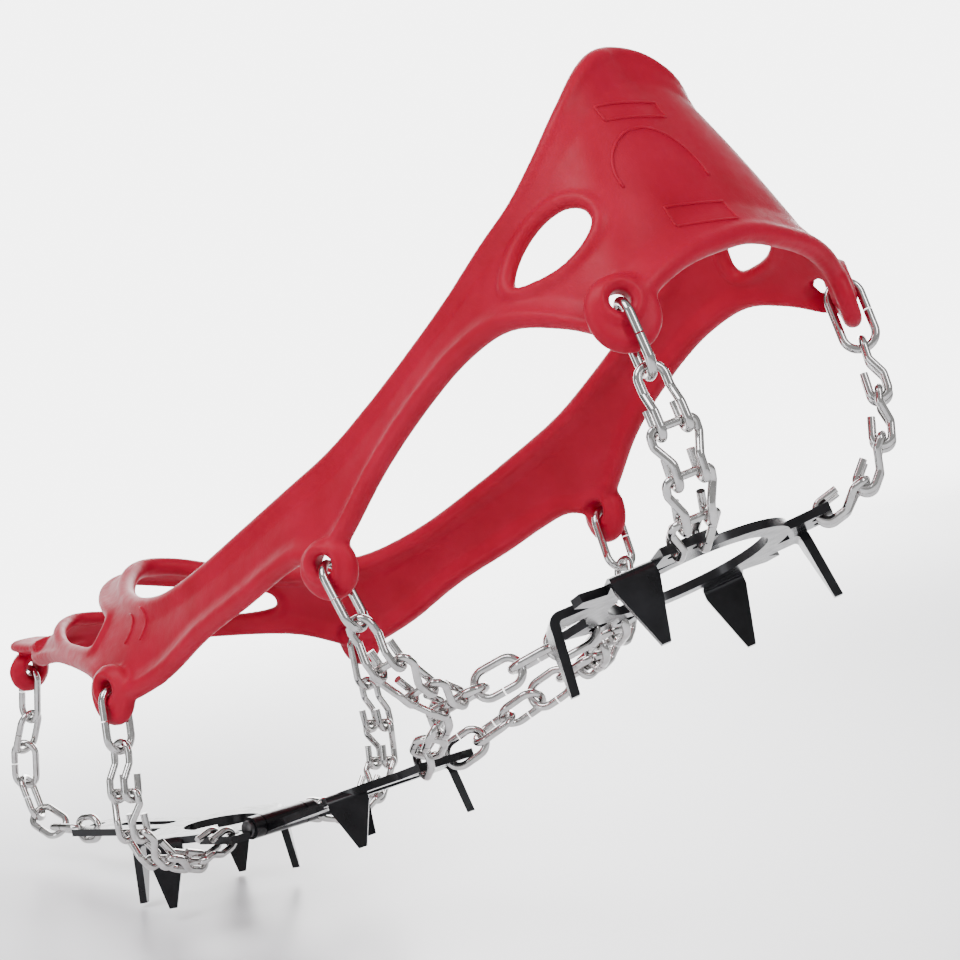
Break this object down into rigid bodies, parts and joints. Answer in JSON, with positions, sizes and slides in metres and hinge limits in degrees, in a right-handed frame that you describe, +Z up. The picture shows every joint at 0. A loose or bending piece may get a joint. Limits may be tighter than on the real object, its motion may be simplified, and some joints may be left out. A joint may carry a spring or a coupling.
{
  "type": "shoe ice cleats",
  "caption": "Slip-on ice cleats for a boot: a stretch harness that carries stainless chains and black steel plates with bent-down spikes under the heel and forefoot.",
  "frame": {"origin": "The middle of the heel plate's upper face, where the boot's heel stands.", "axes": "+Y points from the heel to the toe of the boot, +X to the wearer's right, +Z up. The cleats are stored as worn."},
  "size_m": [0.1158, 0.3456, 0.1368],
  "materials": {
    "harness_elastomer": "satin",
    "chain_steel": "polished stainless",
    "plate_black": "glossy black coat",
    "pin_steel": "satin"
  },
  "bodies": {
    "harness_and_plates": {"harness": "harness_elastomer", "heel_plate": "plate_black", "front_plate_ball_section": "plate_black", "front_plate_hinge_pin": "pin_steel"},
    "left_rear_oval_link": {"left_rear_oval_link": "chain_steel"},
    "left_rear_u_link": {"left_rear_u_link": "chain_steel"},
    "left_rear_ladder_link_1": {"left_rear_ladder_link_1": "chain_steel"},
    "left_rear_ladder_link_2": {"left_rear_ladder_link_2": "chain_steel"},
    "left_rear_ladder_link_3": {"left_rear_ladder_link_3": "chain_steel"},
    "left_mid_oval_link": {"left_mid_oval_link": "chain_steel"},
    "left_mid_u_link": {"left_mid_u_link": "chain_steel"},
    "left_mid_ladder_link_1": {"left_mid_ladder_link_1": "chain_steel"},
    "left_mid_ladder_link_2": {"left_mid_ladder_link_2": "chain_steel"},
    "left_front_oval_link": {"left_front_oval_link": "chain_steel"},
    "left_front_u_link": {"left_front_u_link": "chain_steel"},
    "left_front_ladder_link_1": {"left_front_ladder_link_1": "chain_steel"},
    "left_front_ladder_link_2": {"left_front_ladder_link_2": "chain_steel"},
    "left_front_ladder_link_3": {"left_front_ladder_link_3": "chain_steel"},
    "left_front_ladder_link_4": {"left_front_ladder_link_4": "chain_steel"},
    "left_junction_link": {"left_junction_link": "chain_steel"},
    "left_heel_coil_link_1": {"left_heel_coil_link_1": "chain_steel"},
    "left_heel_coil_link_2": {"left_heel_coil_link_2": "chain_steel"},
    "left_heel_coil_link_3": {"left_heel_coil_link_3": "chain_steel"},
    "left_ball_coil_link_1": {"left_ball_coil_link_1": "chain_steel"},
    "left_ball_coil_link_2": {"left_ball_coil_link_2": "chain_steel"},
    "left_ball_coil_link_3": {"left_ball_coil_link_3": "chain_steel"},
    "left_ball_coil_link_4": {"left_ball_coil_link_4": "chain_steel"},
    "right_rear_oval_link": {"right_rear_oval_link": "chain_steel"},
    "right_rear_u_link": {"right_rear_u_link": "chain_steel"},
    "right_rear_ladder_link_1": {"right_rear_ladder_link_1": "chain_steel"},
    "right_rear_ladder_link_2": {"right_rear_ladder_link_2": "chain_steel"},
    "right_rear_ladder_link_3": {"right_rear_ladder_link_3": "chain_steel"},
    "right_mid_oval_link": {"right_mid_oval_link": "chain_steel"},
    "right_mid_u_link": {"right_mid_u_link": "chain_steel"},
    "right_mid_ladder_link_1": {"right_mid_ladder_link_1": "chain_steel"},
    "right_mid_ladder_link_2": {"right_mid_ladder_link_2": "chain_steel"},
    "right_front_oval_link": {"right_front_oval_link": "chain_steel"},
    "right_front_u_link": {"right_front_u_link": "chain_steel"},
    "right_front_ladder_link_1": {"right_front_ladder_link_1": "chain_steel"},
    "right_front_ladder_link_2": {"right_front_ladder_link_2": "chain_steel"},
    "right_front_ladder_link_3": {"right_front_ladder_link_3": "chain_steel"},
    "right_front_ladder_link_4": {"right_front_ladder_link_4": "chain_steel"},
    "right_junction_link": {"right_junction_link": "chain_steel"},
    "right_heel_coil_link_1": {"right_heel_coil_link_1": "chain_steel"},
    "right_heel_coil_link_2": {"right_heel_coil_link_2": "chain_steel"},
    "right_heel_coil_link_3": {"right_heel_coil_link_3": "chain_steel"},
    "right_ball_coil_link_1": {"right_ball_coil_link_1": "chain_steel"},
    "right_ball_coil_link_2": {"right_ball_coil_link_2": "chain_steel"},
    "right_ball_coil_link_3": {"right_ball_coil_link_3": "chain_steel"},
    "right_ball_coil_link_4": {"right_ball_coil_link_4": "chain_steel"},
    "front_plate_toe_section": {"front_plate_toe_section": "plate_black"},
    "toe_oval_link": {"toe_oval_link": "chain_steel"},
    "toe_coil_link_1": {"toe_coil_link_1": "chain_steel"},
    "toe_coil_link_2": {"toe_coil_link_2": "chain_steel"},
    "toe_coil_link_3": {"toe_coil_link_3": "chain_steel"},
    "toe_coil_link_4": {"toe_coil_link_4": "chain_steel"},
    "toe_coil_link_5": {"toe_coil_link_5": "chain_steel"},
    "toe_coil_link_6": {"toe_coil_link_6": "chain_steel"}
  },
  "joints": [
    {"name": "left_rear_chain_swing", "type": "hinge", "parent": "harness_and_plates", "child": "left_rear_oval_link", "pos_m": [-0.04313, -0.05059, 0.04861], "axis": [-0.8251, 0.565, 0], "range_deg": [-1.82, 1.82]},
    {"name": "left_rear_u_link_swing", "type": "hinge", "parent": "left_rear_oval_link", "child": "left_rear_u_link", "pos_m": [-0.04226, -0.04933, 0.03118], "axis": [-0.8251, 0.565, 0], "range_deg": [-1.89, 1.89]},
    {"name": "left_rear_ladder_link_1_swing", "type": "hinge", "parent": "left_rear_u_link", "child": "left_rear_ladder_link_1", "pos_m": [-0.04138, -0.04804, 0.02009], "axis": [-0.8251, 0.565, 0], "range_deg": [-2.48, 2.48]},
    {"name": "left_rear_ladder_link_2_swing", "type": "hinge", "parent": "left_rear_ladder_link_1", "child": "left_rear_ladder_link_2", "pos_m": [-0.03895, -0.04449, 0.00942], "axis": [-0.8251, 0.565, 0], "range_deg": [-1.39, 1.39]},
    {"name": "left_rear_ladder_link_3_swing", "type": "hinge", "parent": "left_rear_ladder_link_2", "child": "left_rear_ladder_link_3", "pos_m": [-0.03436, -0.03778, 0.00129], "axis": [-0.8251, 0.565, 0], "range_deg": [-2.65, 2.65]},
    {"name": "left_mid_chain_swing", "type": "hinge", "parent": "harness_and_plates", "child": "left_mid_oval_link", "pos_m": [-0.05322, 0.05387, 0.03672], "axis": [-0.218, 0.976, 0], "range_deg": [-0.99, 0.99]},
    {"name": "left_mid_u_link_swing", "type": "hinge", "parent": "left_mid_oval_link", "child": "left_mid_u_link", "pos_m": [-0.05084, 0.0544, 0.01939], "axis": [-0.218, 0.976, 0], "range_deg": [-2.26, 2.26]},
    {"name": "left_mid_ladder_link_1_swing", "type": "hinge", "parent": "left_mid_u_link", "child": "left_mid_ladder_link_1", "pos_m": [-0.04675, 0.05531, 0.009], "axis": [-0.218, 0.976, 0], "range_deg": [-0.13, 0.13]},
    {"name": "left_mid_ladder_link_2_swing", "type": "hinge", "parent": "left_mid_ladder_link_1", "child": "left_mid_ladder_link_2", "pos_m": [-0.03841, 0.05718, 0.00131], "axis": [-0.218, 0.976, 0], "range_deg": [-2.66, 2.66]},
    {"name": "left_front_chain_swing", "type": "hinge", "parent": "harness_and_plates", "child": "left_front_oval_link", "pos_m": [-0.04748, 0.15668, 0.0466], "axis": [0, 0.9397, 0.342], "range_deg": [-2.06, 2.06]},
    {"name": "left_front_u_link_swing", "type": "hinge", "parent": "left_front_oval_link", "child": "left_front_u_link", "pos_m": [-0.04809, 0.16266, 0.03017], "axis": [0, 0.9397, 0.342], "range_deg": [-1.39, 1.39]},
    {"name": "left_front_ladder_link_1_swing", "type": "hinge", "parent": "left_front_u_link", "child": "left_front_ladder_link_1", "pos_m": [-0.04926, 0.16647, 0.0197], "axis": [0, 0.9397, 0.342], "range_deg": [-2.65, 2.65]},
    {"name": "left_front_ladder_link_2_swing", "type": "hinge", "parent": "left_front_ladder_link_1", "child": "left_front_ladder_link_2", "pos_m": [-0.04845, 0.17039, 0.00892], "axis": [0, 0.9397, 0.342], "range_deg": [-0.13, 0.13]},
    {"name": "left_front_ladder_link_3_swing", "type": "hinge", "parent": "left_front_ladder_link_2", "child": "left_front_ladder_link_3", "pos_m": [-0.04137, 0.17349, 0.0004], "axis": [0, 0.9397, 0.342], "range_deg": [-1.75, 1.75]},
    {"name": "left_front_ladder_link_4_swing", "type": "hinge", "parent": "left_front_ladder_link_3", "child": "left_front_ladder_link_4", "pos_m": [-0.03044, 0.17471, -0.00294], "axis": [0, 0.9397, 0.342], "range_deg": [-1.75, 1.75]},
    {"name": "left_junction_swing", "type": "hinge", "parent": "harness_and_plates", "child": "left_junction_link", "pos_m": [-0.028, 0.0595, -0.003], "axis": [-0.218, 0.976, 0], "range_deg": [-1.2, 1.2]},
    {"name": "left_heel_coil_link_1_twist", "type": "hinge", "parent": "harness_and_plates", "child": "left_heel_coil_link_1", "pos_m": [-0.0219, 0.05366, -0.00286], "axis": [0.4959, -0.8667, 0.0532], "range_deg": [-3, 3]},
    {"name": "left_heel_coil_link_2_twist", "type": "hinge", "parent": "harness_and_plates", "child": "left_heel_coil_link_2", "pos_m": [-0.01664, 0.04447, -0.00229], "axis": [0.4959, -0.8667, 0.0532], "range_deg": [-3, 3]},
    {"name": "left_heel_coil_link_3_twist", "type": "hinge", "parent": "harness_and_plates", "child": "left_heel_coil_link_3", "pos_m": [-0.01138, 0.03528, -0.00173], "axis": [0.4959, -0.8667, 0.0532], "range_deg": [-3, 3]},
    {"name": "left_ball_coil_link_1_twist", "type": "hinge", "parent": "harness_and_plates", "child": "left_ball_coil_link_1", "pos_m": [-0.02393, 0.06705, -0.00341], "axis": [0.4681, 0.8703, -0.1533], "range_deg": [-3, 3]},
    {"name": "left_ball_coil_link_2_twist", "type": "hinge", "parent": "harness_and_plates", "child": "left_ball_coil_link_2", "pos_m": [-0.01947, 0.07535, -0.00487], "axis": [0.4681, 0.8703, -0.1533], "range_deg": [-3, 3]},
    {"name": "left_ball_coil_link_3_twist", "type": "hinge", "parent": "harness_and_plates", "child": "left_ball_coil_link_3", "pos_m": [-0.01501, 0.08364, -0.00633], "axis": [0.4681, 0.8703, -0.1533], "range_deg": [-3, 3]},
    {"name": "left_ball_coil_link_4_twist", "type": "hinge", "parent": "harness_and_plates", "child": "left_ball_coil_link_4", "pos_m": [-0.01055, 0.09194, -0.00779], "axis": [0.4681, 0.8703, -0.1533], "range_deg": [-3, 3]},
    {"name": "right_rear_chain_swing", "type": "hinge", "parent": "harness_and_plates", "child": "right_rear_oval_link", "pos_m": [0.04313, -0.05059, 0.04861], "axis": [-0.8251, -0.565, 0], "range_deg": [-1.82, 1.82]},
    {"name": "right_rear_u_link_swing", "type": "hinge", "parent": "right_rear_oval_link", "child": "right_rear_u_link", "pos_m": [0.04226, -0.04933, 0.03118], "axis": [-0.8251, -0.565, 0], "range_deg": [-1.89, 1.89]},
    {"name": "right_rear_ladder_link_1_swing", "type": "hinge", "parent": "right_rear_u_link", "child": "right_rear_ladder_link_1", "pos_m": [0.04138, -0.04804, 0.02009], "axis": [-0.8251, -0.565, 0], "range_deg": [-2.48, 2.48]},
    {"name": "right_rear_ladder_link_2_swing", "type": "hinge", "parent": "right_rear_ladder_link_1", "child": "right_rear_ladder_link_2", "pos_m": [0.03895, -0.04449, 0.00942], "axis": [-0.8251, -0.565, 0], "range_deg": [-1.39, 1.39]},
    {"name": "right_rear_ladder_link_3_swing", "type": "hinge", "parent": "right_rear_ladder_link_2", "child": "right_rear_ladder_link_3", "pos_m": [0.03436, -0.03778, 0.00129], "axis": [-0.8251, -0.565, 0], "range_deg": [-2.65, 2.65]},
    {"name": "right_mid_chain_swing", "type": "hinge", "parent": "harness_and_plates", "child": "right_mid_oval_link", "pos_m": [0.05322, 0.05387, 0.03672], "axis": [-0.218, -0.976, 0], "range_deg": [-0.99, 0.99]},
    {"name": "right_mid_u_link_swing", "type": "hinge", "parent": "right_mid_oval_link", "child": "right_mid_u_link", "pos_m": [0.05084, 0.0544, 0.01939], "axis": [-0.218, -0.976, 0], "range_deg": [-2.26, 2.26]},
    {"name": "right_mid_ladder_link_1_swing", "type": "hinge", "parent": "right_mid_u_link", "child": "right_mid_ladder_link_1", "pos_m": [0.04675, 0.05531, 0.009], "axis": [-0.218, -0.976, 0], "range_deg": [-0.13, 0.13]},
    {"name": "right_mid_ladder_link_2_swing", "type": "hinge", "parent": "right_mid_ladder_link_1", "child": "right_mid_ladder_link_2", "pos_m": [0.03841, 0.05718, 0.00131], "axis": [-0.218, -0.976, 0], "range_deg": [-2.66, 2.66]},
    {"name": "right_front_chain_swing", "type": "hinge", "parent": "harness_and_plates", "child": "right_front_oval_link", "pos_m": [0.04748, 0.15668, 0.0466], "axis": [0, -0.9397, -0.342], "range_deg": [-2.06, 2.06]},
    {"name": "right_front_u_link_swing", "type": "hinge", "parent": "right_front_oval_link", "child": "right_front_u_link", "pos_m": [0.04809, 0.16266, 0.03017], "axis": [0, -0.9397, -0.342], "range_deg": [-1.39, 1.39]},
    {"name": "right_front_ladder_link_1_swing", "type": "hinge", "parent": "right_front_u_link", "child": "right_front_ladder_link_1", "pos_m": [0.04926, 0.16647, 0.0197], "axis": [0, -0.9397, -0.342], "range_deg": [-2.65, 2.65]},
    {"name": "right_front_ladder_link_2_swing", "type": "hinge", "parent": "right_front_ladder_link_1", "child": "right_front_ladder_link_2", "pos_m": [0.04845, 0.17039, 0.00892], "axis": [0, -0.9397, -0.342], "range_deg": [-0.13, 0.13]},
    {"name": "right_front_ladder_link_3_swing", "type": "hinge", "parent": "right_front_ladder_link_2", "child": "right_front_ladder_link_3", "pos_m": [0.04137, 0.17349, 0.0004], "axis": [0, -0.9397, -0.342], "range_deg": [-1.75, 1.75]},
    {"name": "right_front_ladder_link_4_swing", "type": "hinge", "parent": "right_front_ladder_link_3", "child": "right_front_ladder_link_4", "pos_m": [0.03044, 0.17471, -0.00294], "axis": [0, -0.9397, -0.342], "range_deg": [-1.75, 1.75]},
    {"name": "right_junction_swing", "type": "hinge", "parent": "harness_and_plates", "child": "right_junction_link", "pos_m": [0.028, 0.0595, -0.003], "axis": [0.218, 0.976, 0], "range_deg": [-1.2, 1.2]},
    {"name": "right_heel_coil_link_1_twist", "type": "hinge", "parent": "harness_and_plates", "child": "right_heel_coil_link_1", "pos_m": [0.0219, 0.05366, -0.00286], "axis": [-0.4959, -0.8667, 0.0532], "range_deg": [-3, 3]},
    {"name": "right_heel_coil_link_2_twist", "type": "hinge", "parent": "harness_and_plates", "child": "right_heel_coil_link_2", "pos_m": [0.01664, 0.04447, -0.00229], "axis": [-0.4959, -0.8667, 0.0532], "range_deg": [-3, 3]},
    {"name": "right_heel_coil_link_3_twist", "type": "hinge", "parent": "harness_and_plates", "child": "right_heel_coil_link_3", "pos_m": [0.01138, 0.03528, -0.00173], "axis": [-0.4959, -0.8667, 0.0532], "range_deg": [-3, 3]},
    {"name": "right_ball_coil_link_1_twist", "type": "hinge", "parent": "harness_and_plates", "child": "right_ball_coil_link_1", "pos_m": [0.02393, 0.06705, -0.00341], "axis": [-0.4681, 0.8703, -0.1533], "range_deg": [-3, 3]},
    {"name": "right_ball_coil_link_2_twist", "type": "hinge", "parent": "harness_and_plates", "child": "right_ball_coil_link_2", "pos_m": [0.01947, 0.07535, -0.00487], "axis": [-0.4681, 0.8703, -0.1533], "range_deg": [-3, 3]},
    {"name": "right_ball_coil_link_3_twist", "type": "hinge", "parent": "harness_and_plates", "child": "right_ball_coil_link_3", "pos_m": [0.01501, 0.08364, -0.00633], "axis": [-0.4681, 0.8703, -0.1533], "range_deg": [-3, 3]},
    {"name": "right_ball_coil_link_4_twist", "type": "hinge", "parent": "harness_and_plates", "child": "right_ball_coil_link_4", "pos_m": [0.01055, 0.09194, -0.00779], "axis": [-0.4681, 0.8703, -0.1533], "range_deg": [-3, 3]},
    {"name": "toe_plate_hinge", "type": "hinge", "parent": "harness_and_plates", "child": "front_plate_toe_section", "pos_m": [0, 0.168, 0], "axis": [1, 0, 0], "range_deg": [-1.2, 1.2]},
    {"name": "toe_oval_link_swing", "type": "hinge", "parent": "harness_and_plates", "child": "toe_oval_link", "pos_m": [0, 0.2545, 0.086], "axis": [1, 0, 0], "range_deg": [-0.83, 0.83]},
    {"name": "toe_coil_link_1_swing", "type": "hinge", "parent": "toe_oval_link", "child": "toe_coil_link_1", "pos_m": [0, 0.26343, 0.07246], "axis": [1, 0, 0], "range_deg": [-0.06, 0.06]},
    {"name": "toe_coil_link_2_swing", "type": "hinge", "parent": "toe_coil_link_1", "child": "toe_coil_link_2", "pos_m": [0, 0.27257, 0.06532], "axis": [1, 0, 0], "range_deg": [-0.64, 0.64]},
    {"name": "toe_coil_link_3_swing", "type": "hinge", "parent": "toe_coil_link_2", "child": "toe_coil_link_3", "pos_m": [0, 0.27872, 0.05548], "axis": [1, 0, 0], "range_deg": [-1.16, 1.16]},
    {"name": "toe_coil_link_4_swing", "type": "hinge", "parent": "toe_coil_link_3", "child": "toe_coil_link_4", "pos_m": [0, 0.27872, 0.04388], "axis": [1, 0, 0], "range_deg": [-1.35, 1.35]},
    {"name": "toe_coil_link_5_swing", "type": "hinge", "parent": "toe_coil_link_4", "child": "toe_coil_link_5", "pos_m": [0, 0.27051, 0.03568], "axis": [1, 0, 0], "range_deg": [-1.03, 1.03]},
    {"name": "toe_coil_link_6_swing", "type": "hinge", "parent": "toe_coil_link_5", "child": "toe_coil_link_6", "pos_m": [0, 0.25976, 0.03134], "axis": [1, 0, 0], "range_deg": [-0.5, 0.5]}
  ],
  "couplings": [
    {"joint": "left_rear_u_link_swing", "follows": "left_rear_chain_swing", "ratio": -1.009},
    {"joint": "left_rear_ladder_link_1_swing", "follows": "left_rear_chain_swing", "ratio": -1.3372},
    {"joint": "left_rear_ladder_link_2_swing", "follows": "left_rear_chain_swing", "ratio": 0.73829},
    {"joint": "left_rear_ladder_link_3_swing", "follows": "left_rear_chain_swing", "ratio": 1.4284},
    {"joint": "left_mid_u_link_swing", "follows": "left_mid_chain_swing", "ratio": -2.2367},
    {"joint": "left_mid_ladder_link_1_swing", "follows": "left_mid_chain_swing", "ratio": -0.0832},
    {"joint": "left_mid_ladder_link_2_swing", "follows": "left_mid_chain_swing", "ratio": 2.6361},
    {"joint": "left_front_u_link_swing", "follows": "left_front_chain_swing", "ratio": -0.6513},
    {"joint": "left_front_ladder_link_1_swing", "follows": "left_front_chain_swing", "ratio": -1.2642},
    {"joint": "left_front_ladder_link_2_swing", "follows": "left_front_chain_swing", "ratio": 0.03983},
    {"joint": "left_front_ladder_link_3_swing", "follows": "left_front_chain_swing", "ratio": 0.82608},
    {"joint": "left_front_ladder_link_4_swing", "follows": "left_front_chain_swing", "ratio": 0.82624},
    {"joint": "right_rear_u_link_swing", "follows": "right_rear_chain_swing", "ratio": -1.009},
    {"joint": "right_rear_ladder_link_1_swing", "follows": "right_rear_chain_swing", "ratio": -1.3372},
    {"joint": "right_rear_ladder_link_2_swing", "follows": "right_rear_chain_swing", "ratio": 0.73829},
    {"joint": "right_rear_ladder_link_3_swing", "follows": "right_rear_chain_swing", "ratio": 1.4284},
    {"joint": "right_mid_u_link_swing", "follows": "right_mid_chain_swing", "ratio": -2.2367},
    {"joint": "right_mid_ladder_link_1_swing", "follows": "right_mid_chain_swing", "ratio": -0.0832},
    {"joint": "right_mid_ladder_link_2_swing", "follows": "right_mid_chain_swing", "ratio": 2.6361},
    {"joint": "right_front_u_link_swing", "follows": "right_front_chain_swing", "ratio": -0.6513},
    {"joint": "right_front_ladder_link_1_swing", "follows": "right_front_chain_swing", "ratio": -1.2642},
    {"joint": "right_front_ladder_link_2_swing", "follows": "right_front_chain_swing", "ratio": 0.03983},
    {"joint": "right_front_ladder_link_3_swing", "follows": "right_front_chain_swing", "ratio": 0.82608},
    {"joint": "right_front_ladder_link_4_swing", "follows": "right_front_chain_swing", "ratio": 0.82624},
    {"joint": "toe_oval_link_swing", "follows": "toe_plate_hinge", "ratio": 0.6483},
    {"joint": "toe_coil_link_1_swing", "follows": "toe_plate_hinge", "ratio": 0.00934},
    {"joint": "toe_coil_link_2_swing", "follows": "toe_plate_hinge", "ratio": -0.49376},
    {"joint": "toe_coil_link_3_swing", "follows": "toe_plate_hinge", "ratio": -0.92192},
    {"joint": "toe_coil_link_4_swing", "follows": "toe_plate_hinge", "ratio": -1.0856},
    {"joint": "toe_coil_link_5_swing", "follows": "toe_plate_hinge", "ratio": -0.81544},
    {"joint": "toe_coil_link_6_swing", "follows": "toe_plate_hinge", "ratio": -0.37142}
  ]
}
